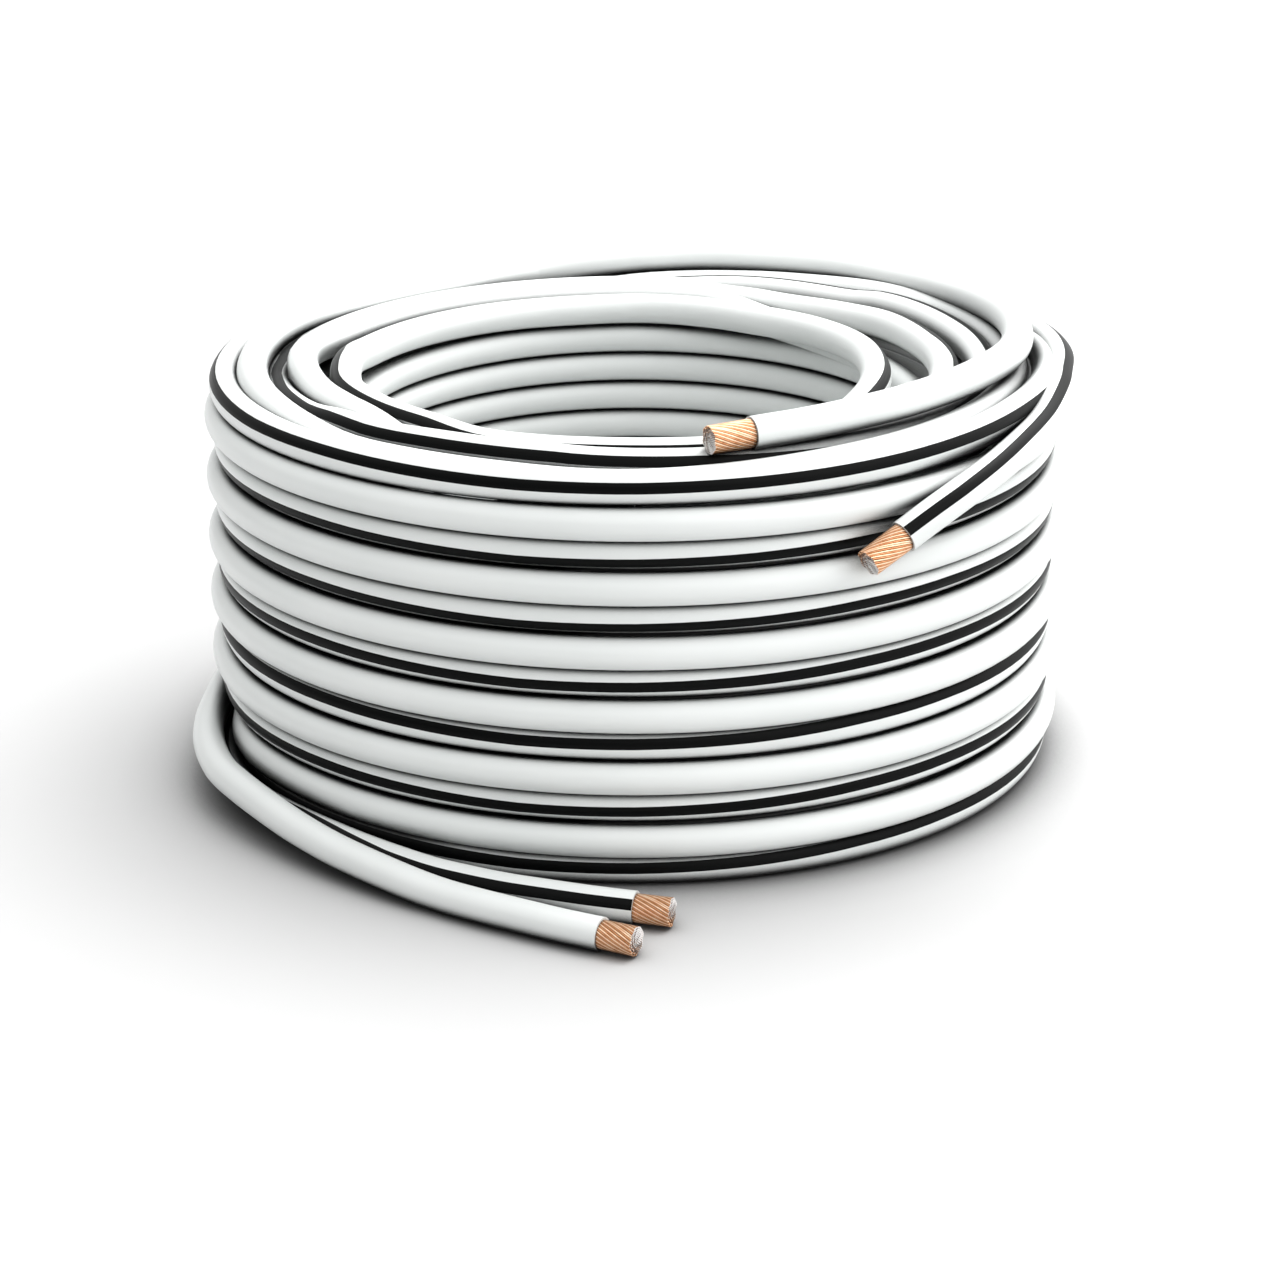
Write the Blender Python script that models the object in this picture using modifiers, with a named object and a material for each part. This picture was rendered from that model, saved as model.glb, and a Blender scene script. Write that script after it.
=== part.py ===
"""Coil of twin flat cord, lying on its flat end, with its four ends stripped.

The cord is two stranded copper conductors in two round jackets joined by a thin web.
One jacket is plain and the other carries a stripe.  Units are metres, +Z is up and
the floor is at z = 0.
"""

import math

import bmesh
import bpy
from mathutils import Vector

# Cord
JACKET_D = 0.0050            # across one round jacket
JACKET_WALL = 0.00035        # thickness of a jacket round its bundle of strands
WEB_MERGE = 0.0002           # how far the two jackets of the pair run into each other
PAIR_LEAN = 17.0             # degrees that a wound pair leans from upright, its lower jacket inward
GAP = 0.0003                 # clearance between pieces that touch

# Winding
WOUND_R = 0.0656             # axis of the coil to the centre of the outermost jackets
BORE_R = 0.0433              # clear radius of the bore
TURN_SLACK = 0.000375        # left open between one turn of the outer wall and the next
FULL_TURNS = 6               # whole pairs up the outer wall, below the single top jacket
SIDE_NEST = 0.9              # least distance between turns lying side by side, in jackets
TOP_FALL = 0.0018            # how much lower the top falls from the outermost turn to the bore
RIM_DROP = 0.0078            # how far below the top turn the bore's last whole turn lies
GROOVE = 60.0                # degrees each side of its crest that a jacket shows
OUTER_FACETS = 3             # faces round a jacket on the outer wall, the bottom and the corners
INNER_FACETS = 2             # faces round a jacket in the bore and on the top

# Stripped ends
TOP_STRIP = 0.0069           # bare copper on the two upper ends
BOTTOM_STRIP = 0.0055        # bare copper on the two lower ends

# Smoothness
RING_STEPS = 36
TUBE_RESOLUTION = 3
CURVE_STEPS = 12             # fine points between two points of a route
POINT_SPACING = 0.0095       # along a free tube's centre line
WELD = 0.00001

JACKET_R = JACKET_D / 2
COPPER_R = JACKET_R - JACKET_WALL
PAIR_PITCH = JACKET_D - WEB_MERGE
PAIR_RISE = PAIR_PITCH * math.cos(math.radians(PAIR_LEAN))
PAIR_TUCK = PAIR_PITCH * math.sin(math.radians(PAIR_LEAN))
TURN_PITCH = PAIR_RISE + math.sqrt((JACKET_D + TURN_SLACK) ** 2 - PAIR_TUCK ** 2)
TOP_TURN = JACKET_R + FULL_TURNS * TURN_PITCH    # height of the single top jacket's centre
INNERMOST_R = BORE_R + JACKET_R
RIM_TURN = TOP_TURN - RIM_DROP                   # height of the bore's last whole turn's centre

# The routes go round the coil.  Each point has the angle round the axis in degrees from +X
# and how far its centre lies outside the outermost jackets' centres, in jackets.

# Lower pair, plain jacket: then lean in degrees, and centre spacing to its mate in jackets
LOWER_ROUTE = [
    (152.1, 0.00, 17, 1.06),
    (160.3, -0.01, 17, 1.06),
    (170.0, 0.04, 18, 1.06),
    (178.1, 0.17, 20, 1.06),
    (185.9, 0.39, 24, 1.06),
    (193.3, 0.77, 29, 1.06),
    (200.8, 1.17, 35, 1.06),
    (208.6, 1.49, 41, 1.06),
    (214.7, 1.57, 47, 1.06),
    (221.6, 1.67, 56, 1.06),
    (227.8, 1.82, 66, 1.06),
    (234.9, 2.08, 75, 1.06),
    (243.9, 2.54, 84, 1.08),
    (249.3, 2.86, 90, 1.18),
    (254.1, 3.25, 90, 1.36),
    (258.7, 3.67, 90, 1.60),
    (262.9, 4.15, 90, 1.84),
    (267.0, 4.66, 90, 2.08),
]

# Upper plain jacket, out of the back, round the right and over the top: then height in
# jackets above the top turn's centre
UPPER_PLAIN_ROUTE = [
    (106.0, -0.26, -0.12),
    (100.0, -0.12, -0.05),
    (94.0, -0.12, 0.03),
    (88.0, -0.12, 0.12),
    (78.5, -0.10, 0.24),
    (67.4, -0.12, 0.30),
    (57.1, -0.14, 0.36),
    (45.1, -0.43, 0.46),
    (35.0, -0.63, 0.60),
    (23.6, -0.77, 0.76),
    (12.7, -0.86, 0.88),
    (1.4, -1.02, 0.96),
    (-10.0, -1.26, 1.00),
    (-21.3, -1.66, 1.00),
    (-32.1, -1.95, 1.00),
    (-44.0, -2.17, 0.98),
    (-54.1, -2.26, 0.96),
    (-63.3, -2.24, 0.92),
    (-72.2, -2.13, 0.88),
]

# Upper striped jacket, out of the back under its mate, then down across the outer wall:
# then height in jackets above the top turn's centre
UPPER_STRIPED_ROUTE = [
    (106.0, 0.11, -1.14),
    (100.0, 0.14, -1.11),
    (94.0, 0.16, -1.02),
    (88.0, 0.20, -0.92),
    (78.4, 0.29, -0.76),
    (67.2, 0.38, -0.64),
    (56.3, 0.44, -0.52),
    (44.6, 0.48, -0.38),
    (33.0, 0.47, -0.22),
    (21.7, 0.42, -0.06),
    (10.3, 0.36, 0.08),
    (-0.9, 0.32, 0.16),
    (-10.7, 0.33, 0.12),
    (-17.2, 0.39, 0.00),
    (-25.6, 0.52, -0.22),
    (-33.9, 0.67, -0.40),
    (-41.3, 0.88, -0.64),
    (-48.1, 1.06, -0.96),
    (-53.0, 1.08, -1.38),
    (-56.9, 1.06, -1.82),
]

# Loose innermost turn.  It leaves the front of the bore's wall, bulges into the bore on the
# right, lies on the rim at the back and the left, and goes under the next turn in front.  Each
# point has the angle, how far its centre lies outside the innermost jackets' centres, and how
# far above the centre of the bore's last whole turn, both in jackets
INNER_ROUTE = [
    (-142, 0.00, -0.10),
    (-120, -0.48, 0.05),
    (-95, -0.96, 0.33),
    (-70, -1.10, 0.73),
    (-45, -1.20, 1.07),
    (-20, -1.46, 1.33),
    (0, -1.54, 1.33),
    (20, -1.42, 1.30),
    (40, -1.22, 1.22),
    (60, -0.96, 1.13),
    (75, -0.45, 1.06),
    (88, -0.14, 1.02),
    (103, -0.18, 1.02),
    (120, -0.05, 1.03),
    (140, -0.04, 1.09),
    (160, -0.04, 1.20),
    (170, -0.05, 1.37),
    (180, -0.05, 1.57),
    (190, 0.04, 1.64),
    (205, 0.12, 1.60),
    (220, 0.10, 1.49),
    (240, 0.02, 1.26),
    (262, 0.00, 1.08),
    (300, 0.00, 0.94),
    (330, 0.00, 0.85),
    (360, 0.00, 0.80),
    (385, 0.00, 0.92),
    (405, 0.00, 0.98),
]


def clear_scene():
    for item in list(bpy.data.objects):
        bpy.data.objects.remove(item, do_unlink=True)


def make_collection(name):
    collection = bpy.data.collections.new(name)
    bpy.context.scene.collection.children.link(collection)
    return collection


def make_material(name, colour, roughness, metallic):
    material = bpy.data.materials.new(name)
    material.use_nodes = True
    shader = material.node_tree.nodes["Principled BSDF"]
    shader.inputs["Base Color"].default_value = (*colour, 1.0)
    shader.inputs["Roughness"].default_value = roughness
    shader.inputs["Metallic"].default_value = metallic
    return material


def jacket_arc(centre, start, end, facets):
    """Points round a jacket from one angle to another; an odd count has a flat at its crest."""
    turn = math.radians(end - start) / facets
    points = []
    for i in range(facets + 1):
        angle = math.radians(start) + turn * i
        inner = 0 < i < facets
        radius = JACKET_R / math.cos(turn / 2) if inner and facets % 2 else JACKET_R
        points.append((centre[0] + radius * math.cos(angle),
                       centre[1] + radius * math.sin(angle)))
    return points


def corner_arc(centre, start):
    """A jacket that turns a corner of the wall, with one flat square to each side."""
    first = jacket_arc(centre, start, start - 2 * GROOVE, OUTER_FACETS)
    second = jacket_arc(centre, start - 90, start - 90 - 2 * GROOVE, OUTER_FACETS)
    return first[:-1] + second[1:]


def outer_wall():
    """Centres of the outermost jackets from the top down: plain and striped by turns."""
    centres = [(WOUND_R - PAIR_TUCK, TOP_TURN)]
    for turn in reversed(range(FULL_TURNS)):
        base = JACKET_R + turn * TURN_PITCH
        centres.append((WOUND_R, base + PAIR_RISE))
        centres.append((WOUND_R - PAIR_TUCK, base))
    return centres


def row(first, last, count):
    """Centres strictly between two others, evenly spaced."""
    return [(first[0] + (last[0] - first[0]) * i / count,
             first[1] + (last[1] - first[1]) * i / count) for i in range(1, count)]


def winding_profile():
    """Outline of the wound wall: down the outside, in along the bottom, up the bore, out on top."""
    wall = outer_wall()
    top_outer, bottom_outer = wall[0], wall[-1]
    bottom_inner = (INNERMOST_R, JACKET_R)
    rim = (INNERMOST_R, RIM_TURN)
    bore_rows = math.floor((rim[1] - bottom_inner[1]) / JACKET_D)
    side_rows = max(2, math.floor((top_outer[0] - rim[0]) / (JACKET_D * SIDE_NEST)))
    top_rows = row((rim[0], top_outer[1] - TOP_FALL), top_outer, side_rows)

    points = corner_arc(top_outer, 90 + GROOVE)
    for centre in wall[1:-1]:
        points += jacket_arc(centre, GROOVE, -GROOVE, OUTER_FACETS)
    points += corner_arc(bottom_outer, GROOVE)
    for centre in row(bottom_outer, bottom_inner, side_rows):
        points += jacket_arc(centre, -90 + GROOVE, -90 - GROOVE, OUTER_FACETS)
    points += corner_arc(bottom_inner, -90 + GROOVE)
    for centre in row(bottom_inner, rim, bore_rows):
        points += jacket_arc(centre, -180 + GROOVE, -180 - GROOVE, INNER_FACETS)
    points += corner_arc(rim, -180 + GROOVE)
    points += corner_arc(top_rows[0], -180 + GROOVE)
    for centre in top_rows[1:]:
        points += jacket_arc(centre, -270 + GROOVE, -270 - GROOVE, INNER_FACETS)
    return points


def make_winding(collection, material):
    profile = winding_profile()
    count = len(profile)
    mesh = bpy.data.meshes.new("winding")
    mesh.from_pydata([(radius, 0.0, height) for radius, height in profile],
                     [(i, (i + 1) % count) for i in range(count)], [])
    winding = bpy.data.objects.new("winding", mesh)
    collection.objects.link(winding)
    screw = winding.modifiers.new("turned", "SCREW")
    screw.axis = "Z"
    screw.angle = math.tau
    screw.steps = RING_STEPS
    screw.render_steps = RING_STEPS
    screw.use_merge_vertices = True
    screw.merge_threshold = WELD
    screw.use_smooth_shade = False
    mesh.materials.append(material)
    return winding


def smooth_points(route):
    """Evenly spaced points on a smooth curve through a route's own points."""
    ends = [2 * route[0] - route[1]] + route + [2 * route[-1] - route[-2]]
    fine = []
    for i in range(1, len(ends) - 2):
        a, b, c, d = ends[i - 1:i + 3]
        for step in range(CURVE_STEPS):
            t = step / CURVE_STEPS
            fine.append(0.5 * (2 * b + (c - a) * t + (2 * a - 5 * b + 4 * c - d) * t ** 2
                               + (3 * b - a - 3 * c + d) * t ** 3))
    fine.append(route[-1])
    reach = [0.0]
    for first, second in zip(fine, fine[1:]):
        reach.append(reach[-1] + (second - first).length)
    count = round(reach[-1] / POINT_SPACING)
    points = []
    near = 0
    for i in range(count + 1):
        target = reach[-1] * i / count
        while near < len(reach) - 2 and reach[near + 1] < target:
            near += 1
        share = (target - reach[near]) / (reach[near + 1] - reach[near])
        points.append(fine[near].lerp(fine[near + 1], share))
    return points


def make_tube(name, points, radius, collection, material):
    curve = bpy.data.curves.new(name, "CURVE")
    curve.dimensions = "3D"
    curve.bevel_depth = radius
    curve.bevel_resolution = TUBE_RESOLUTION
    curve.use_fill_caps = True
    spline = curve.splines.new("POLY")
    spline.points.add(len(points) - 1)
    for point, place in zip(spline.points, points):
        point.co = (*place, 1.0)
    tube = bpy.data.objects.new(name, curve)
    collection.objects.link(tube)
    if material:
        curve.materials.append(material)
    return tube


def make_channel_cutter(name, points, collection):
    """A tube's path with the clearance round it, as a mesh, so that the winding makes way for it."""
    start = points[0] - (points[1] - points[0]).normalized() * GAP
    end = points[-1] + (points[-1] - points[-2]).normalized() * GAP
    guide = make_tube(name, [start] + points[1:-1] + [end], JACKET_R + GAP, collection, None)
    bpy.context.view_layer.update()
    depsgraph = bpy.context.evaluated_depsgraph_get()
    mesh = bpy.data.meshes.new_from_object(guide.evaluated_get(depsgraph))
    weld_mesh(mesh)
    cutter = bpy.data.objects.new(name + "_mesh", mesh)
    cutter.matrix_world = guide.matrix_world
    collection.objects.link(cutter)
    bpy.data.objects.remove(guide, do_unlink=True)
    cutter.hide_render = True
    cutter.display_type = "WIRE"
    return cutter


def weld_mesh(mesh):
    work = bmesh.new()
    work.from_mesh(mesh)
    bmesh.ops.remove_doubles(work, verts=work.verts, dist=WELD)
    work.to_mesh(mesh)
    work.free()


def body_at(start):
    """Every vertex that edges join to the first one."""
    body = {start}
    edge_of_search = [start]
    while edge_of_search:
        vertex = edge_of_search.pop()
        for edge in vertex.link_edges:
            other = edge.other_vert(vertex)
            if other not in body:
                body.add(other)
                edge_of_search.append(other)
    return body


def drop_slivers(winding):
    """Applies the cuts and clears the thin slivers that a channel leaves beside the crests."""
    bpy.context.view_layer.update()
    depsgraph = bpy.context.evaluated_depsgraph_get()
    mesh = bpy.data.meshes.new_from_object(winding.evaluated_get(depsgraph))
    work = bmesh.new()
    work.from_mesh(mesh)
    left = set(work.verts)
    bodies = []
    while left:
        body = body_at(next(iter(left)))
        bodies.append(body)
        left -= body
    main = max(bodies, key=len)
    slivers = [vertex for vertex in work.verts if vertex not in main]
    bmesh.ops.delete(work, geom=slivers, context="VERTS")
    work.to_mesh(mesh)
    work.free()
    winding.modifiers.clear()
    winding.data = mesh


def round_the_axis(angle, radius, height):
    return Vector((radius * math.cos(math.radians(angle)),
                   radius * math.sin(math.radians(angle)), height))


def round_the_wall(angle, out, height):
    """A point that keeps its place beside the outermost jackets whatever the coil's radius."""
    return round_the_axis(angle, WOUND_R + out * JACKET_D, height)


def lower_routes():
    """Centre lines of the lower pair: the striped jacket on the floor, the plain one leaning over it."""
    plain, striped = [], []
    places = [round_the_wall(angle, out, JACKET_R) for angle, out, lean, spacing in LOWER_ROUTE]
    for i, (angle, out, lean, spacing) in enumerate(LOWER_ROUTE):
        ahead = places[min(i + 1, len(places) - 1)] - places[max(i - 1, 0)]
        inward = Vector((-ahead.y, ahead.x, 0.0)).normalized()
        up = spacing * JACKET_D * math.cos(math.radians(lean))
        across = spacing * JACKET_D * math.sin(math.radians(lean))
        plain.append(places[i] + Vector((0.0, 0.0, up)))
        striped.append(places[i] + inward * across)
    return plain, striped


def upper_route(route):
    return [round_the_wall(angle, out, TOP_TURN + rise * JACKET_D) for angle, out, rise in route]


def inner_route():
    return [round_the_axis(angle, INNERMOST_R + out * JACKET_D, RIM_TURN + rise * JACKET_D)
            for angle, out, rise in INNER_ROUTE]


def cut_channel(winding, name, points, collection):
    """Makes the winding give way to a tube that lies in or against it."""
    cutter = make_channel_cutter("channel_" + name, points, collection)
    cut = winding.modifiers.new("channel_" + name, "BOOLEAN")
    cut.operation = "DIFFERENCE"
    cut.object = cutter
    return cutter


def make_end(name, route, strip, collection, jacket_material, copper_material):
    """One free jacket and the bare copper that stands out of it, face to face."""
    points = smooth_points(route)
    jacket = make_tube("jacket_" + name, points, JACKET_R, collection, jacket_material)
    heading = (points[-1] - points[-2]).normalized()
    bare_start = points[-1] + heading * GAP
    copper = make_tube("copper_" + name, [bare_start, points[-1] + heading * strip],
                       COPPER_R, collection, copper_material)
    return points, [jacket, copper]


def centre_on_floor(pieces, anchor):
    """Moves the anchor so that the whole object's box stands centred on the origin."""
    bpy.context.view_layer.update()
    depsgraph = bpy.context.evaluated_depsgraph_get()
    corners = []
    for piece in pieces:
        shape = piece.evaluated_get(depsgraph).to_mesh()
        corners += [piece.matrix_world @ vertex.co for vertex in shape.vertices]
    for axis in (0, 1):
        values = [corner[axis] for corner in corners]
        anchor.location[axis] = -(min(values) + max(values)) / 2


def build():
    clear_scene()
    parts = make_collection("wire_coil")
    cutters = make_collection("cutters")
    white = make_material("white_jacket", (0.80, 0.82, 0.81), 0.35, 0.0)
    striped_white = make_material("striped_jacket", (0.72, 0.74, 0.73), 0.35, 0.0)
    copper = make_material("bare_copper", (0.85, 0.42, 0.20), 0.30, 1.0)

    winding = make_winding(parts, white)
    lower_plain, lower_striped = lower_routes()
    ends = [("lower_plain", lower_plain, BOTTOM_STRIP, white),
            ("lower_striped", lower_striped, BOTTOM_STRIP, striped_white),
            ("upper_plain", upper_route(UPPER_PLAIN_ROUTE), TOP_STRIP, white),
            ("upper_striped", upper_route(UPPER_STRIPED_ROUTE), TOP_STRIP, striped_white)]

    pieces = [winding]
    guides = []
    for name, route, strip, jacket_material in ends:
        points, made = make_end(name, route, strip, parts, jacket_material, copper)
        pieces += made
        guides.append(cut_channel(winding, name, points, cutters))
    points = smooth_points(inner_route())
    pieces.append(make_tube("inner_turn", points, JACKET_R, parts, white))
    guides.append(cut_channel(winding, "inner_turn", points, cutters))

    drop_slivers(winding)
    anchor = bpy.data.objects.new("coil_axis", None)
    parts.objects.link(anchor)
    centre_on_floor(pieces, anchor)
    for item in pieces + guides:
        item.parent = anchor


build()
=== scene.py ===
"""The looks of a coil of twin flat cord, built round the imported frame.

The cord is two round jackets side by side, one plain and one with a black stripe, each
round a bundle of fine copper strands.  Every turn is swept along its own route.  Angles
go round the coil's axis in degrees from +X, anticlockwise seen from above.
"""

import math

import bpy
import numpy as np
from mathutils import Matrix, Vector


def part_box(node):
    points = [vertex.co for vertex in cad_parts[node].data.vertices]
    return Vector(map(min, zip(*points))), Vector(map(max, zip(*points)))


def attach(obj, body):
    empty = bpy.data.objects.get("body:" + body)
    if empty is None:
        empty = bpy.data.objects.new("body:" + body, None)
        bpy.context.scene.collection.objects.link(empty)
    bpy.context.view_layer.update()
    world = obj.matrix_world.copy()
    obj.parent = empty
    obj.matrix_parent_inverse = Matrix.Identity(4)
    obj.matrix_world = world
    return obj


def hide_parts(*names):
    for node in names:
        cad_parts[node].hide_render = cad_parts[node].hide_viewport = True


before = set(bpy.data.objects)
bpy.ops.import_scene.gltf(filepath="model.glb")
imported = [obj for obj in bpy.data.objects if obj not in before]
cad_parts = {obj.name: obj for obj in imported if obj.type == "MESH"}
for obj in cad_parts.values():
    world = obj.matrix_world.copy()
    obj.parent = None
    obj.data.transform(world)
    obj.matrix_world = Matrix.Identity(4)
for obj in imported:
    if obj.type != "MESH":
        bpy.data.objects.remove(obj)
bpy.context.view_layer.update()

# Cord
JACKET_D = 0.0050
JACKET_WALL = 0.00035
WEB_MERGE = 0.0002            # how far the two jackets of the pair run into each other
PAIR_LEAN = 17.0              # degrees that a wound pair leans from upright
JACKET_R = JACKET_D / 2
PAIR_PITCH = JACKET_D - WEB_MERGE
PAIR_RISE = PAIR_PITCH * math.cos(math.radians(PAIR_LEAN))
PAIR_TUCK = PAIR_PITCH * math.sin(math.radians(PAIR_LEAN))
STRIPE_HALF = 19.5            # degrees each side of the stripe's middle
WEB_EDGE = 19.0               # degrees from the pair's line to where the web meets a jacket
PULLED_WEB_EDGE = 7.0         # the same where the two jackets are pulled apart
WEB_WAIST = 0.86              # the web's thickness in its middle, as a share of that at its edge
WEB_ROUND = 0.004             # once round the web, for its pattern
# The stripe's middle on the free ends, by share of their length: degrees above outward
LOWER_STRIPE = [(0.0, 80), (0.58, 75), (0.64, 60), (0.72, 38), (0.8, 33), (1.0, 33)]
UPPER_STRIPE = [(0.0, 40), (0.5, 46), (0.62, 56), (0.70, 66), (0.81, 64), (0.86, 57), (0.90, 51),
                (0.945, 43), (1.0, 42)]

# Winding
WOUND_R = 0.0656              # axis of the coil to the centre of the outermost jackets
TURN_SLACK = 0.000375         # left open between one turn of the outer wall and the next
TURN_PITCH = PAIR_RISE + math.sqrt((JACKET_D + TURN_SLACK) ** 2 - PAIR_TUCK ** 2)
FULL_TURNS = 6
TOP_TURN = JACKET_R + FULL_TURNS * TURN_PITCH
BORE_WALL_R = 0.0458          # axis to the centre of the innermost jackets
BORE_PITCH = 0.005035         # one flat turn of the inner layers
BORE_TURNS = 10
BORE_LAYERS = 2               # pairs that lie one behind the other
BORE_STEP = 4                 # degrees between rings of the inner turns
BORE_SHORT = 48               # degrees by which the last of them stops short
JOG_START = 5.6               # radians round from the front, where a turn steps up to the next
JOG_LENGTH = 0.6
TILT_FULL = 0.03              # height from which the tilt is whole
TILT = 0.0005                 # how much higher the inner turns are at the back than at the middle

# Stripped ends
TOP_STRIP = 0.0069
BOTTOM_STRIP = 0.0055
STRAND_D = 0.0003
STRAND_TWIST = 260.0          # radians a metre
COPPER_INSET = 0.001          # how far the strands start inside the jacket
LAYER_PITCH = 0.94            # from one layer of strands to the next, in strands
STRAND_SIDES = 6
OUTER_STRAND_STEPS = 13
INNER_STRAND_STEPS = 3        # inner strands show only their cut ends
INNER_STRAND_START = 0.75     # and begin at this share of the length
STRAND_WOBBLE = 0.06          # how far a strand strays from its layer, in strands
STRAND_RECESS = 0.25          # and how far its cut end stays back

# Smoothness
STEP_ANGLE = 3.0              # degrees between rings round the coil
TAIL_STEP = 0.0012            # between rings along a free tail
SIDES = 24
BORE_SIDES = (20, 12)         # of the inner jacket of a bore pair and of the hidden one behind it
SPLINE_PARTS = 12             # straight bits between two points of a route before it is evened out
RING_POINTS = 40              # the same for a route round the coil, a point of its table
STRIPE_POINTS = 5             # across the stripe
EDGE_SLACK = 0.1              # degrees

winding_low, winding_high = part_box("winding")
AXIS = Vector(((winding_low.x + winding_high.x) / 2, (winding_low.y + winding_high.y) / 2, 0.0))

# Free ends, as in the part: angle, centre outside the outermost jackets' centres in jackets
LOWER_ROUTE = [
    (152.1, 0.00, 17, 1.06),
    (160.3, -0.01, 17, 1.06),
    (170.0, 0.04, 18, 1.06),
    (178.1, 0.17, 20, 1.06),
    (185.9, 0.39, 24, 1.06),
    (193.3, 0.77, 29, 1.06),
    (200.8, 1.17, 35, 1.06),
    (208.6, 1.49, 41, 1.06),
    (214.7, 1.57, 47, 1.06),
    (221.6, 1.67, 56, 1.06),
    (227.8, 1.82, 66, 1.06),
    (234.9, 2.08, 75, 1.06),
    (243.9, 2.54, 84, 1.08),
    (249.3, 2.86, 90, 1.18),
    (254.1, 3.25, 90, 1.36),
    (258.7, 3.67, 90, 1.60),
    (262.9, 4.15, 90, 1.84),
    (267.0, 4.66, 90, 2.08),
]
UPPER_PLAIN_ROUTE = [
    (106.0, -0.26, -0.12),
    (100.0, -0.12, -0.05),
    (94.0, -0.12, 0.03),
    (88.0, -0.12, 0.12),
    (78.5, -0.10, 0.24),
    (67.4, -0.12, 0.30),
    (57.1, -0.14, 0.36),
    (45.1, -0.43, 0.46),
    (35.0, -0.63, 0.60),
    (23.6, -0.77, 0.76),
    (12.7, -0.86, 0.88),
    (1.4, -1.02, 0.96),
    (-10.0, -1.26, 1.00),
    (-21.3, -1.66, 1.00),
    (-32.1, -1.95, 1.00),
    (-44.0, -2.17, 0.98),
    (-54.1, -2.26, 0.96),
    (-63.3, -2.24, 0.92),
    (-72.2, -2.13, 0.88),
]
UPPER_STRIPED_ROUTE = [
    (106.0, 0.11, -1.14),
    (100.0, 0.14, -1.11),
    (94.0, 0.16, -1.02),
    (88.0, 0.20, -0.92),
    (78.4, 0.29, -0.76),
    (67.2, 0.38, -0.64),
    (56.3, 0.44, -0.52),
    (44.6, 0.48, -0.38),
    (33.0, 0.47, -0.22),
    (21.7, 0.42, -0.06),
    (10.3, 0.36, 0.08),
    (-0.9, 0.32, 0.16),
    (-10.7, 0.33, 0.12),
    (-17.2, 0.39, 0.00),
    (-25.6, 0.52, -0.22),
    (-33.9, 0.67, -0.40),
    (-41.3, 0.88, -0.64),
    (-48.1, 1.06, -0.96),
    (-53.0, 1.08, -1.38),
    (-56.9, 1.06, -1.82),
]


def polar(angle, radius, height):
    """A point round the coil's own axis."""
    turn = math.radians(angle)
    return AXIS + Vector((radius * math.cos(turn), radius * math.sin(turn), height))


def spline(points, count, before=None):
    """Points spaced evenly along a smooth curve through the given ones."""
    points = [Vector(point) for point in points]
    if before is None:
        before = 2 * points[0] - points[1]
    ends = [before] + points + [2 * points[-1] - points[-2]]
    fine = []
    for i in range(1, len(ends) - 2):
        a, b, c, d = ends[i - 1:i + 3]
        for step in range(SPLINE_PARTS):
            t = step / SPLINE_PARTS
            fine.append(0.5 * (2 * b + (c - a) * t + (2 * a - 5 * b + 4 * c - d) * t ** 2
                               + (3 * b - a - 3 * c + d) * t ** 3))
    fine.append(points[-1])
    fine = np.array(fine)
    reach = np.concatenate([[0.0], np.cumsum(np.linalg.norm(np.diff(fine, axis=0), axis=1))])
    if count < 1:
        count = max(2, round(reach[-1] / count) + 1)
    wanted = np.linspace(0.0, reach[-1], count)
    return np.stack([np.interp(wanted, reach, fine[:, k]) for k in range(3)], axis=1)


def ring_route(points, start=None):
    """A smooth route round the coil from given (angle, radius in mm, height in mm)."""
    rows = np.array(points, float)
    dense = spline([Vector(row) for row in rows], RING_POINTS * len(rows))
    order = dense[:, 0]
    if start is None:
        start = order[0]
    count = round(abs(order[-1] - start) / STEP_ANGLE) + 1
    angles = np.linspace(start, order[-1], count)
    if order[-1] < order[0]:
        dense = dense[::-1]
    radii = np.interp(angles, dense[:, 0], dense[:, 1])
    heights = np.interp(angles, dense[:, 0], dense[:, 2])
    return np.array([polar(a, r / 1000, h / 1000) for a, r, h in zip(angles, radii, heights)])


def frames(route):
    """Tangent, outward and upward directions at every point of a route."""
    tangent = np.gradient(route, axis=0)
    tangent /= np.linalg.norm(tangent, axis=1)[:, None]
    outward = route - np.array(AXIS)
    outward[:, 2] = 0.0
    outward -= tangent * np.sum(outward * tangent, axis=1)[:, None]
    outward /= np.linalg.norm(outward, axis=1)[:, None]
    upward = np.cross(tangent, outward)
    flip = upward[:, 2] < 0
    upward[flip] *= -1
    return tangent, outward, upward


def mesh_object(name, vertices, faces, uvs, face_materials, materials):
    mesh = bpy.data.meshes.new(name)
    mesh.from_pydata([tuple(v) for v in vertices], [], faces)
    layer = mesh.uv_layers.new(name="along")
    layer.data.foreach_set("uv", np.array(uvs, np.float32).ravel())
    for material in materials:
        mesh.materials.append(material)
    edges = {edge.key: edge for edge in mesh.edges}
    for polygon in mesh.polygons:
        if len(polygon.vertices) > 4:
            for key in polygon.edge_keys:
                edges[key].use_edge_sharp = True
    mesh.polygons.foreach_set("material_index", face_materials)
    mesh.polygons.foreach_set("use_smooth", [True] * len(mesh.polygons))
    mesh.validate()
    mesh.update()
    obj = bpy.data.objects.new(name, mesh)
    bpy.context.scene.collection.objects.link(obj)
    return obj


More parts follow.
